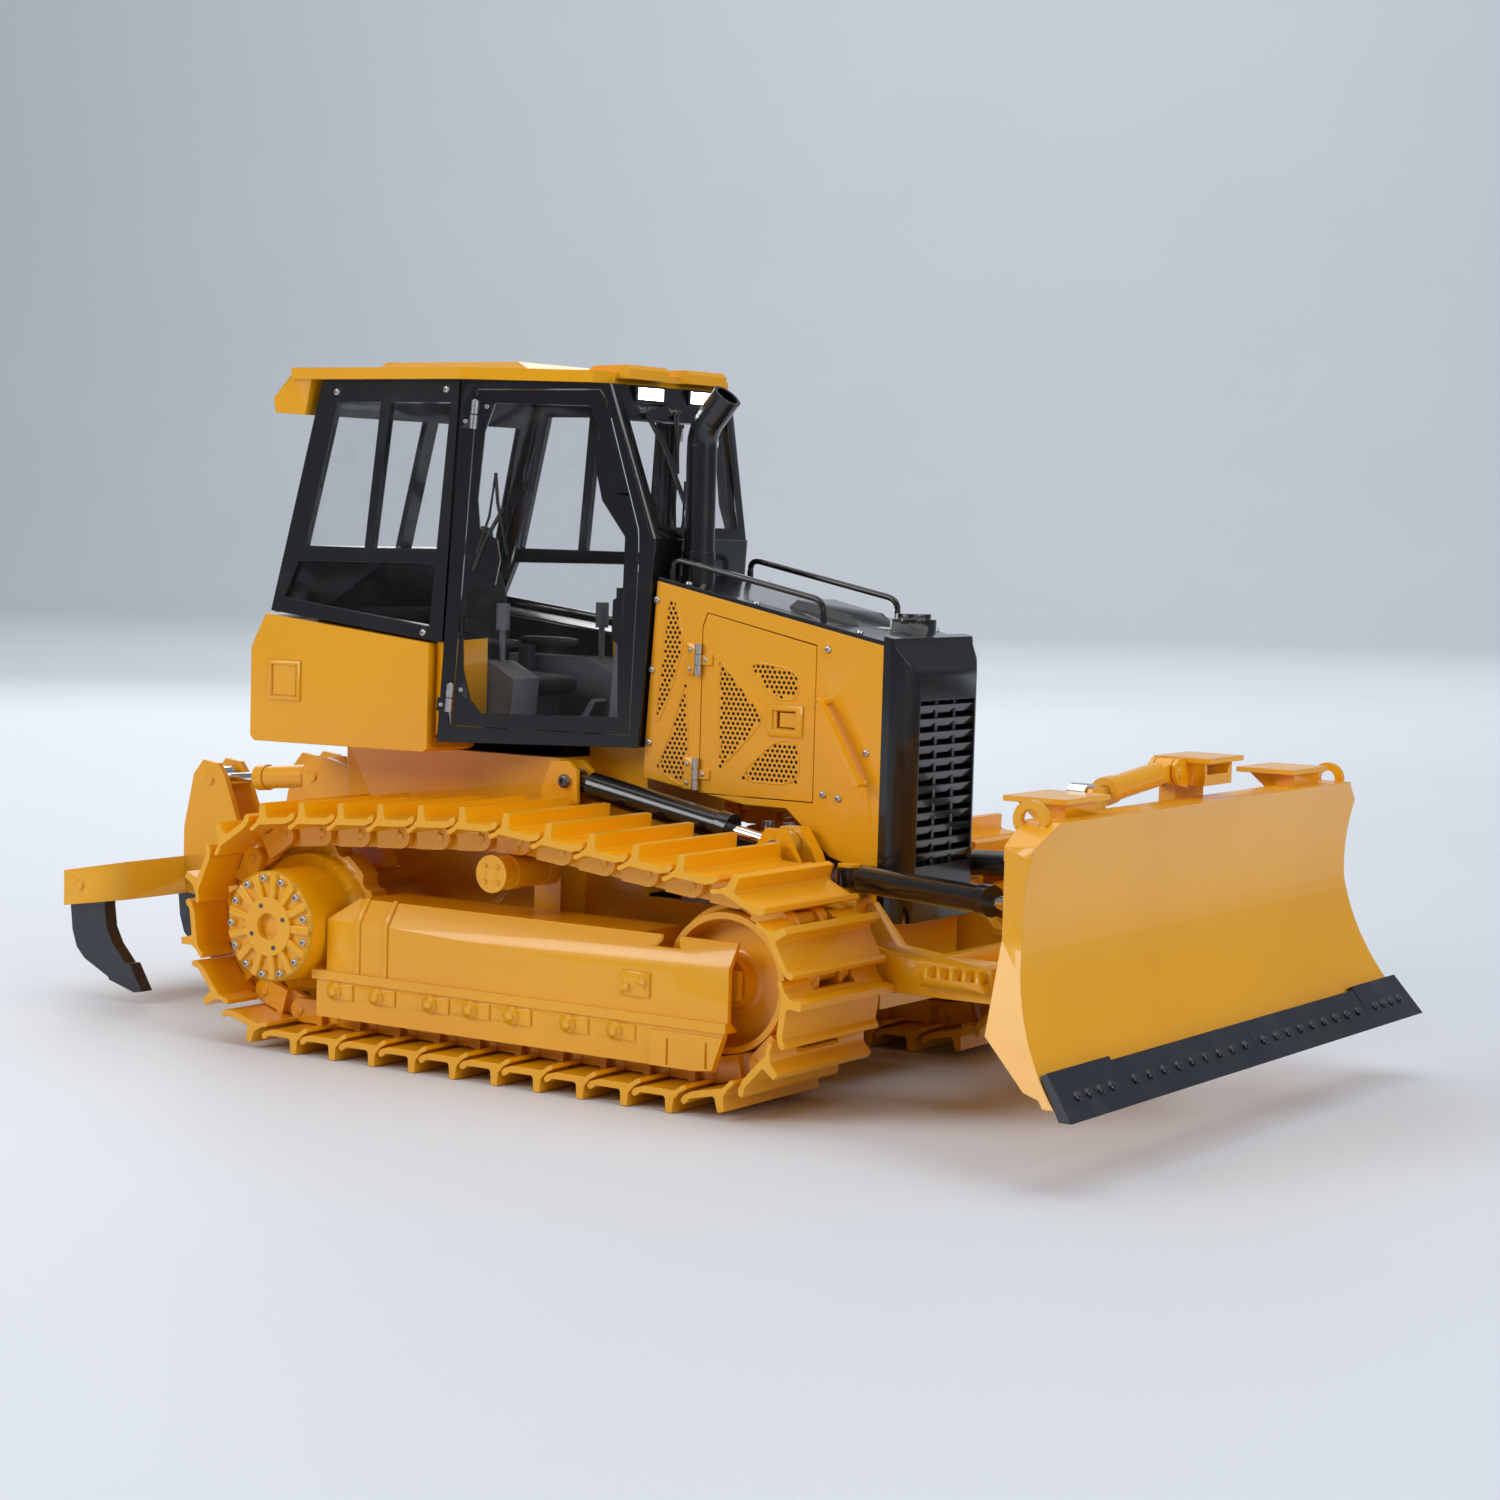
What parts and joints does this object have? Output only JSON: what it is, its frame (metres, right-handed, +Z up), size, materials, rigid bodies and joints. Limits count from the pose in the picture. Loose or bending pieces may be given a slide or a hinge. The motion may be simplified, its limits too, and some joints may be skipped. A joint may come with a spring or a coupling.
{
  "type": "toy bulldozer",
  "caption": "Scale-model bulldozer with rolling track wheels, an opening cab and hood, a blade that lifts, angles and tilts on hydraulic cylinders, and a rear ripper.",
  "frame": {"origin": "centre of the bounding box at ground level, under the grouser tips", "axes": "+X forwards towards the blade, +Y to the machine's left, +Z up"},
  "size_m": [0.5, 0.286, 0.2573],
  "materials": {
    "yellow_paint": "gloss",
    "black_paint": "gloss",
    "window_glass": "gloss",
    "chrome_rod": "polished",
    "dark_steel": "satin",
    "lamp_white": "gloss",
    "seat_black": "matte",
    "grey_plastic": "satin",
    "battery_blue": "satin",
    "bare_steel": "satin"
  },
  "bodies": {
    "chassis": {"main_frame": "yellow_paint", "track_frame_right": "yellow_paint", "track_frame_left": "yellow_paint", "track_guard_right": "yellow_paint", "track_guard_left": "yellow_paint", "track_chain_right": "yellow_paint", "track_chain_left": "yellow_paint", "track_shoes_right": "yellow_paint", "track_shoes_left": "yellow_paint", "hood_top": "black_paint", "hood_panels": "yellow_paint", "grille": "black_paint", "exhaust_stack": "black_paint", "hood_rails": "black_paint", "cab_frame": "black_paint", "cab_windows": "window_glass", "cab_roof": "yellow_paint", "work_lights": "lamp_white", "side_boxes": "yellow_paint", "fuel_tank": "yellow_paint", "operator_seat": "seat_black", "cab_console": "grey_plastic", "battery_pack": "battery_blue", "hydraulic_pump": "bare_steel", "drive_motors": "bare_steel", "body_screws": "bare_steel"},
    "sprocket_right_body": {"sprocket_right": "yellow_paint"},
    "sprocket_left_body": {"sprocket_left": "yellow_paint"},
    "idler_right_body": {"idler_right": "yellow_paint"},
    "idler_left_body": {"idler_left": "yellow_paint"},
    "carrier_pair": {"carrier_rollers": "yellow_paint"},
    "roller_pair_1": {"bottom_rollers_1": "yellow_paint"},
    "roller_pair_2": {"bottom_rollers_2": "yellow_paint"},
    "roller_pair_3": {"bottom_rollers_3": "yellow_paint"},
    "roller_pair_4": {"bottom_rollers_4": "yellow_paint"},
    "roller_pair_5": {"bottom_rollers_5": "yellow_paint"},
    "roller_pair_6": {"bottom_rollers_6": "yellow_paint"},
    "roller_pair_7": {"bottom_rollers_7": "yellow_paint"},
    "cab_door_right_body": {"cab_door_right": "black_paint", "door_glass_right": "window_glass"},
    "cab_door_left_body": {"cab_door_left": "black_paint", "door_glass_left": "window_glass"},
    "hood_door_right_body": {"hood_door_right": "yellow_paint"},
    "hood_door_left_body": {"hood_door_left": "yellow_paint"},
    "push_frame": {"c_frame": "yellow_paint"},
    "swivel": {"swivel_beam": "yellow_paint"},
    "blade_body": {"blade": "yellow_paint", "cutting_edge": "dark_steel"},
    "lift_barrel_pair": {"lift_barrels": "black_paint"},
    "lift_rod_pair": {"lift_rods": "chrome_rod"},
    "angle_barrel_right_body": {"angle_barrel_right": "black_paint"},
    "angle_barrel_left_body": {"angle_barrel_left": "black_paint"},
    "angle_rod_right_body": {"angle_rod_right": "chrome_rod"},
    "angle_rod_left_body": {"angle_rod_left": "chrome_rod"},
    "tilt_barrel_body": {"tilt_barrel": "yellow_paint"},
    "tilt_rod_body": {"tilt_rod": "chrome_rod"},
    "ripper": {"ripper_beam": "yellow_paint", "ripper_shanks": "dark_steel"},
    "ripper_barrel_pair": {"ripper_barrels": "yellow_paint"},
    "ripper_rod_pair": {"ripper_rods": "chrome_rod"}
  },
  "joints": [
    {"name": "sprocket_right_turn", "type": "hinge", "parent": "chassis", "child": "sprocket_right_body", "pos_m": [-0.101, -0.0807, 0.04635], "axis": [0, 1, 0], "continuous": true},
    {"name": "idler_right_turn", "type": "hinge", "parent": "chassis", "child": "idler_right_body", "pos_m": [0.0905, -0.0807, 0.0435], "axis": [0, 1, 0], "continuous": true},
    {"name": "sprocket_left_turn", "type": "hinge", "parent": "chassis", "child": "sprocket_left_body", "pos_m": [-0.101, 0.0807, 0.04635], "axis": [0, 1, 0], "continuous": true},
    {"name": "idler_left_turn", "type": "hinge", "parent": "chassis", "child": "idler_left_body", "pos_m": [0.0905, 0.0807, 0.0435], "axis": [0, 1, 0], "continuous": true},
    {"name": "carrier_turn", "type": "hinge", "parent": "chassis", "child": "carrier_pair", "pos_m": [-0.005, 0, 0.07335], "axis": [0, 1, 0], "continuous": true},
    {"name": "roller_1_turn", "type": "hinge", "parent": "chassis", "child": "roller_pair_1", "pos_m": [0.053, 0, 0.0245], "axis": [0, 1, 0], "continuous": true},
    {"name": "roller_2_turn", "type": "hinge", "parent": "chassis", "child": "roller_pair_2", "pos_m": [0.033, 0, 0.0245], "axis": [0, 1, 0], "continuous": true},
    {"name": "roller_3_turn", "type": "hinge", "parent": "chassis", "child": "roller_pair_3", "pos_m": [0.008, 0, 0.0245], "axis": [0, 1, 0], "continuous": true},
    {"name": "roller_4_turn", "type": "hinge", "parent": "chassis", "child": "roller_pair_4", "pos_m": [-0.0105, 0, 0.0245], "axis": [0, 1, 0], "continuous": true},
    {"name": "roller_5_turn", "type": "hinge", "parent": "chassis", "child": "roller_pair_5", "pos_m": [-0.029, 0, 0.0245], "axis": [0, 1, 0], "continuous": true},
    {"name": "roller_6_turn", "type": "hinge", "parent": "chassis", "child": "roller_pair_6", "pos_m": [-0.054, 0, 0.0245], "axis": [0, 1, 0], "continuous": true},
    {"name": "roller_7_turn", "type": "hinge", "parent": "chassis", "child": "roller_pair_7", "pos_m": [-0.074, 0, 0.0245], "axis": [0, 1, 0], "continuous": true},
    {"name": "cab_door_right_swing", "type": "hinge", "parent": "chassis", "child": "cab_door_right_body", "pos_m": [-0.05071, -0.06997, 0.132], "axis": [-0.0578, -0.0349, -0.9977], "range_deg": [0, 100]},
    {"name": "cab_door_left_swing", "type": "hinge", "parent": "chassis", "child": "cab_door_left_body", "pos_m": [-0.05071, 0.06997, 0.132], "axis": [0.0578, -0.0349, 0.9977], "range_deg": [0, 100]},
    {"name": "hood_door_right_swing", "type": "hinge", "parent": "chassis", "child": "hood_door_right_body", "pos_m": [0.033, -0.0299, 0.13], "axis": [0, 0, 1], "range_deg": [-100, 0]},
    {"name": "hood_door_left_swing", "type": "hinge", "parent": "chassis", "child": "hood_door_left_body", "pos_m": [0.033, 0.0299, 0.13], "axis": [0, 0, -1], "range_deg": [-100, 0]},
    {"name": "blade_lift", "type": "hinge", "parent": "chassis", "child": "push_frame", "pos_m": [0.005, 0, 0.042], "axis": [0, -1, 0], "range_deg": [-12, 13]},
    {"name": "lift_barrel_swing", "type": "hinge", "parent": "chassis", "child": "lift_barrel_pair", "pos_m": [-0.013, 0, 0.103], "axis": [0, -1, 0], "range_deg": [-8.57, 9.27]},
    {"name": "lift_rod_slide", "type": "slide", "parent": "lift_barrel_pair", "child": "lift_rod_pair", "axis": [0.9837, 0, -0.1798], "range_m": [-0.01312, 0.01213]},
    {"name": "blade_angle", "type": "hinge", "parent": "push_frame", "child": "swivel", "pos_m": [0.196, 0, 0.048], "axis": [0, 0, 1], "range_deg": [-12, 12]},
    {"name": "angle_barrel_right_swing", "type": "hinge", "parent": "push_frame", "child": "angle_barrel_right_body", "pos_m": [0.104, -0.036, 0.0765], "axis": [0, 0, 1], "range_deg": [-3.91, 3.91]},
    {"name": "angle_rod_right_slide", "type": "slide", "parent": "angle_barrel_right_body", "child": "angle_rod_right_body", "axis": [0.943, -0.3328, 0], "range_m": [-0.01372, 0.01372]},
    {"name": "angle_barrel_left_swing", "type": "hinge", "parent": "push_frame", "child": "angle_barrel_left_body", "pos_m": [0.104, 0.036, 0.0765], "axis": [0, 0, 1], "range_deg": [-3.91, 3.91]},
    {"name": "angle_rod_left_slide", "type": "slide", "parent": "angle_barrel_left_body", "child": "angle_rod_left_body", "axis": [0.943, 0.3328, 0], "range_m": [-0.01372, 0.01372]},
    {"name": "blade_tilt", "type": "hinge", "parent": "swivel", "child": "blade_body", "pos_m": [0.216, 0, 0.048], "axis": [1, 0, 0], "range_deg": [-5, 5]},
    {"name": "tilt_barrel_swing", "type": "hinge", "parent": "swivel", "child": "tilt_barrel_body", "pos_m": [0.21, -0.003, 0.1195], "axis": [1, 0, 0], "range_deg": [-4.9, 4.9]},
    {"name": "tilt_rod_slide", "type": "slide", "parent": "tilt_barrel_body", "child": "tilt_rod_body", "axis": [0, -0.9955, -0.0948], "range_m": [-0.00643, 0.00643]},
    {"name": "ripper_lift", "type": "hinge", "parent": "chassis", "child": "ripper", "pos_m": [-0.132, 0, 0.042], "axis": [0, -1, 0], "range_deg": [-12, 9]},
    {"name": "ripper_barrel_swing", "type": "hinge", "parent": "chassis", "child": "ripper_barrel_pair", "pos_m": [-0.146, 0, 0.095], "axis": [0, -1, 0], "range_deg": [-14.61, 11.01]},
    {"name": "ripper_rod_slide", "type": "slide", "parent": "ripper_barrel_pair", "child": "ripper_rod_pair", "axis": [-0.9957, 0, -0.0922], "range_m": [-0.01131, 0.00853]}
  ],
  "couplings": [
    {"joint": "idler_right_turn", "follows": "sprocket_right_turn", "ratio": 1.0964},
    {"joint": "idler_left_turn", "follows": "sprocket_left_turn", "ratio": 1.0964},
    {"joint": "lift_barrel_swing", "follows": "blade_lift", "ratio": 0.69792},
    {"joint": "lift_rod_slide", "follows": "blade_lift", "m_per_rad": -0.056938},
    {"joint": "angle_barrel_right_swing", "follows": "blade_angle", "ratio": 0.30952},
    {"joint": "angle_rod_right_slide", "follows": "blade_angle", "m_per_rad": 0.064559},
    {"joint": "angle_barrel_left_swing", "follows": "blade_angle", "ratio": 0.30952},
    {"joint": "angle_rod_left_slide", "follows": "blade_angle", "m_per_rad": -0.064559},
    {"joint": "tilt_barrel_swing", "follows": "blade_tilt", "ratio": 0.94012},
    {"joint": "tilt_rod_slide", "follows": "blade_tilt", "m_per_rad": 0.071402},
    {"joint": "ripper_barrel_swing", "follows": "ripper_lift", "ratio": 1.201},
    {"joint": "ripper_rod_slide", "follows": "ripper_lift", "m_per_rad": 0.053051}
  ]
}
